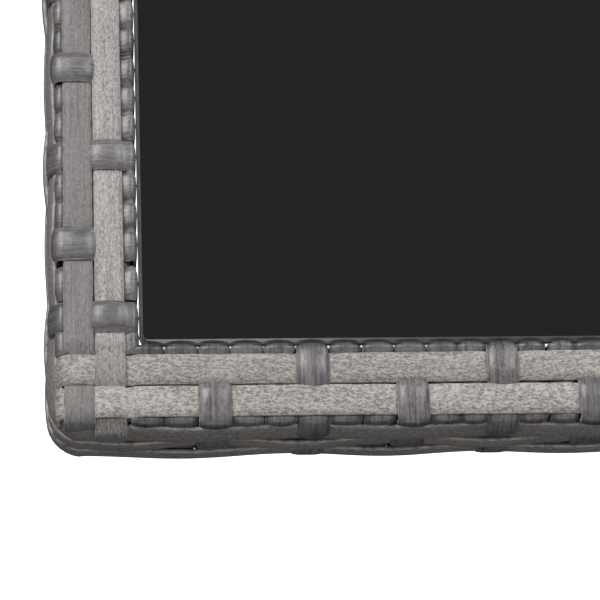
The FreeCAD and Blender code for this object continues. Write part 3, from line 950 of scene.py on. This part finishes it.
# The pane's upright edge is pale: partly its frosted grind, partly a painted glow of light carried through
# the glass.
FROSTED_EDGE_AND_GLOW = (0.85, 0.84, 0.83)
WIPE_STRETCH, WIPE_SCALE, WIPE_DETAIL = (3.0, 1.2, 1.0), 6.0, 4.0
WIPE_LOW, WIPE_HIGH = 0.35, 0.7
WIPED, DULL, GROUND_DULLER = 0.03, 0.1, 0.08   # roughness
SPECK_SCALE = 2500.0
DUST = (0.72, 0.8, 0.0, 0.5)     # from these values of the specks to these shares of dust
BEVEL_FLAT, BEVEL_FLATTER = 0.9, 0.95   # how level a ground face can be at most
EDGE_UPRIGHT, EDGE_LEANING = 0.2, 0.4
GLASS_IOR = 1.5


def black_glass():
    """Back-painted black glass: a mirror finish with faint wipe marks, a frosted bevel, and a pale edge
    that is partly frosted and partly a painted glow.
    """
    n = Nodes("glass_black")
    where = n.add("ShaderNodeTexCoord").outputs["Object"]
    wipes = n.noise(n.stretch(where, WIPE_STRETCH), WIPE_SCALE, WIPE_DETAIL)
    specks = n.noise(where, SPECK_SCALE)
    facing = n.add("ShaderNodeSeparateXYZ")
    n.link(n.add("ShaderNodeNewGeometry").outputs["True Normal"], facing.inputs[0])
    flat = n.math("ABSOLUTE", facing.outputs["Z"])
    ground = n.span(flat, BEVEL_FLAT, BEVEL_FLATTER, 1.0, 0.0)
    upright = n.span(flat, EDGE_UPRIGHT, EDGE_LEANING, 1.0, 0.0)
    face = n.mix(n.span(specks, *DUST), PANE, PANE_DUST)
    frosted = n.mix(n.span(specks, NOISE_LOW, NOISE_HIGH), GROUND_DARK, GROUND_LIGHT)
    # The upright edge is painted pale, partly as a painted glow of light through the glass.
    edge = n.mix(upright, frosted, FROSTED_EDGE_AND_GLOW)
    n.link(n.mix(ground, face, edge), n.shader.inputs["Base Color"])
    smooth = n.span(wipes, WIPE_LOW, WIPE_HIGH, WIPED, DULL)
    n.link(n.math("MULTIPLY_ADD", ground, GROUND_DULLER, smooth), n.shader.inputs["Roughness"])
    n.shader.inputs["IOR"].default_value = GLASS_IOR
    return n.material


strand = wicker(
    "wicker_strand",
    dark=(0.165, 0.156, 0.147),
    light=(0.47, 0.442, 0.412),
    flecks=1.2,
    streaks=0.5,
    plain_streaks=3.0,
    rough=0.5,
    specular=0.35,
)
wrap = wicker(
    "wicker_wrap",
    dark=(0.05, 0.0455, 0.0465),
    light=(0.235, 0.217, 0.218),
    flecks=0.7,
    streaks=1.5,
    plain_streaks=1.0,
    rough=0.34,
    specular=0.6,
)
METAL = {"metallic": 1.0, "fine": 1200.0, "vary": 0.15}
CAD_MATERIALS = {
    "frame_steel": plain("frame_steel", colour=(0.05, 0.05, 0.052), rough=0.45),
    "foot_plastic": plain("foot_plastic", colour=(0.035, 0.035, 0.037), rough=0.55, bump=0.25),
    "pad_rubber": plain("pad_rubber", colour=(0.03, 0.03, 0.03), rough=0.7, fine=1500.0),
    "fastener_steel": plain("fastener_steel", colour=(0.6, 0.6, 0.61), rough=0.32, **METAL),
    "bush_brass": plain("bush_brass", colour=(0.7, 0.52, 0.26), rough=0.3, **METAL),
    "glass_black": black_glass(),
    "wicker_strand": strand,
}
for row in frame["record"]["subparts"]:
    node = frame["nodes"][row["node"]]
    node.data.materials.clear()
    node.data.materials.append(CAD_MATERIALS[row["material_slot"]])

# --- The woven pieces -------------------------------------------------------------------------------
for side in SIDES:
    rim_wraps(side, wrap)
    rim_rows(side, strand)
side_loops(strand)
for corner in ("front_left", "front_right", "back_left", "back_right"):
    woven_post(corner, wrap, strand)
for side in SIDES:
    woven_apron(side, wrap, strand)

# --- Floor and lights, in metres, and the camera ----------------------------------------------------
FLOOR_SIZE = 20.0
WALL_RADIUS, WALL_HEIGHT, WALL_SIDES = 9.0, 7.0, 48
WALL_FOOT = -0.01
BACKDROP_COLOUR, BACKDROP_ROUGH, BACKDROP_GLOW = (0.8, 0.8, 0.8), 0.8, 0.9
SKY_COLOUR = (1.0, 0.99, 0.985)
SKY_LOW, SKY_HIGH = 0.02, 0.34   # its strength at the horizon and overhead
SKY_RISE = 0.8                   # how far up the full strength starts, from 0 level to 1 straight up
# name: (place, what it points at, size, watts)
LIGHTS = {
    "key_left": ((-2.0, 1.3, 2.7), (-0.1, 0, 0.4), (1.6, 1.6), 85),
    "key_right": ((1.5, 1.1, 2.9), (-0.1, 0, 0.4), (1.4, 1.4), 45),
    "card_left": ((-3.2, 0.7, 0.9), (-0.4, 0.1, 0.4), (2.4, 1.2), 6),
    "card_front": ((-1.05, -3.0, 1.28), (-1.05, 0, 0.7), (2.0, 0.4), 9),
    "fill_front": ((0.6, -3.7, 1.3), (0, 0, 0.2), (3.4, 2.0), 20),
    "fill_back": ((2.4, 2.6, 1.3), (0, 0, 0.2), (1.6, 1.2), 30),
}


def pale_paint():
    n = Nodes("floor")
    n.feed(n.shader.inputs["Base Color"], BACKDROP_COLOUR)
    n.feed(n.shader.inputs["Roughness"], BACKDROP_ROUGH)
    n.feed(n.shader.inputs["Emission Color"], WHITE)
    n.feed(n.shader.inputs["Emission Strength"], BACKDROP_GLOW)
    return n.material


def backdrop(name, points, faces, material):
    """A staging surface that is seen but casts nothing on the table."""
    mesh = bpy.data.meshes.new(name)
    mesh.from_pydata(points, [], faces)
    mesh.materials.append(material)
    surface = bpy.data.objects.new(name, mesh)
    bpy.context.scene.collection.objects.link(surface)
    surface.visible_diffuse = False
    surface.visible_glossy = False
    surface.visible_shadow = False


def floor_and_wall():
    """A pale floor, and a wall all round that is far enough off to be plain background in any view."""
    paint = pale_paint()
    half = FLOOR_SIZE / 2
    corners = [(-half, -half, 0), (half, -half, 0), (half, half, 0), (-half, half, 0)]
    backdrop("floor", corners, [(0, 1, 2, 3)], paint)
    ring = [2 * math.pi * q / WALL_SIDES for q in range(WALL_SIDES)]
    points = []
    for z in (WALL_FOOT, WALL_HEIGHT):
        points += [(WALL_RADIUS * math.cos(a), WALL_RADIUS * math.sin(a), z) for a in ring]
    pairs = [(q, (q + 1) % WALL_SIDES) for q in range(WALL_SIDES)]
    faces = [(a, b, b + WALL_SIDES, a + WALL_SIDES) for a, b in pairs]
    backdrop("wall", points, faces, paint)


def sky():
    """Soft light from above, fading out towards the horizon."""
    world = bpy.data.worlds.new("studio")
    world.use_nodes = True
    tree = world.node_tree
    where = tree.nodes.new("ShaderNodeTexCoord")
    height = tree.nodes.new("ShaderNodeSeparateXYZ")
    fade = tree.nodes.new("ShaderNodeMapRange")
    background = tree.nodes["Background"]
    for key, number in (
        ("From Min", 0.0), ("From Max", SKY_RISE), ("To Min", SKY_LOW), ("To Max", SKY_HIGH)
    ):
        fade.inputs[key].default_value = number
    tree.links.new(where.outputs["Generated"], height.inputs[0])
    tree.links.new(height.outputs["Z"], fade.inputs["Value"])
    tree.links.new(fade.outputs[0], background.inputs["Strength"])
    background.inputs["Color"].default_value = (*SKY_COLOUR, 1)
    bpy.context.scene.world = world


def softbox(name, place, aim, size, watts):
    data = bpy.data.lights.new(name, "AREA")
    data.shape = "RECTANGLE"
    data.size, data.size_y = size
    data.energy = watts
    light = bpy.data.objects.new(name, data)
    light.location = place
    light.rotation_euler = (Vector(aim) - Vector(place)).to_track_quat("-Z", "Y").to_euler()
    bpy.context.scene.collection.objects.link(light)


floor_and_wall()
sky()
for name, light in LIGHTS.items():
    softbox(name, *light)

# The camera looks down on the front left corner of the rim. Its angles are in degrees.
CAMERA_AIM = (65.0, 34.6)        # mm in from the left and front woven faces, on the top of the weave
CAMERA_DISTANCE = 635.0          # mm
CAMERA_ELEVATION = 71.64
CAMERA_AZIMUTH = -17.77
CAMERA_ROLL = 16.52
PICTURE = 600
FOCAL = 2487.0                   # in the same units as the picture's width
SENSOR = 36.0                    # mm
CLIP_NEAR, CLIP_FAR = 0.02, 50   # m

aim = Vector(((LOW[0] + CAMERA_AIM[0]) * MM, (LOW[1] + CAMERA_AIM[1]) * MM, TOP_Z * MM))
azimuth, elevation = math.radians(CAMERA_AZIMUTH), math.radians(CAMERA_ELEVATION)
level = math.cos(elevation)
back = Vector((math.sin(azimuth) * level, -math.cos(azimuth) * level, math.sin(elevation)))
camera_data = bpy.data.cameras.new("camera")
camera_data.sensor_width = SENSOR
camera_data.lens = FOCAL / PICTURE * SENSOR
camera_data.clip_start = CLIP_NEAR
camera_data.clip_end = CLIP_FAR
camera = bpy.data.objects.new("camera", camera_data)
camera.location = aim + back * (CAMERA_DISTANCE * MM)
roll = Matrix.Rotation(math.radians(CAMERA_ROLL), 3, "Z")
turn = (-back).to_track_quat("-Z", "Y").to_matrix() @ roll
camera.rotation_mode = "QUATERNION"
camera.rotation_quaternion = turn.to_quaternion()
bpy.context.scene.collection.objects.link(camera)
bpy.context.scene.camera = camera
bpy.context.scene.view_settings.view_transform = "Standard"
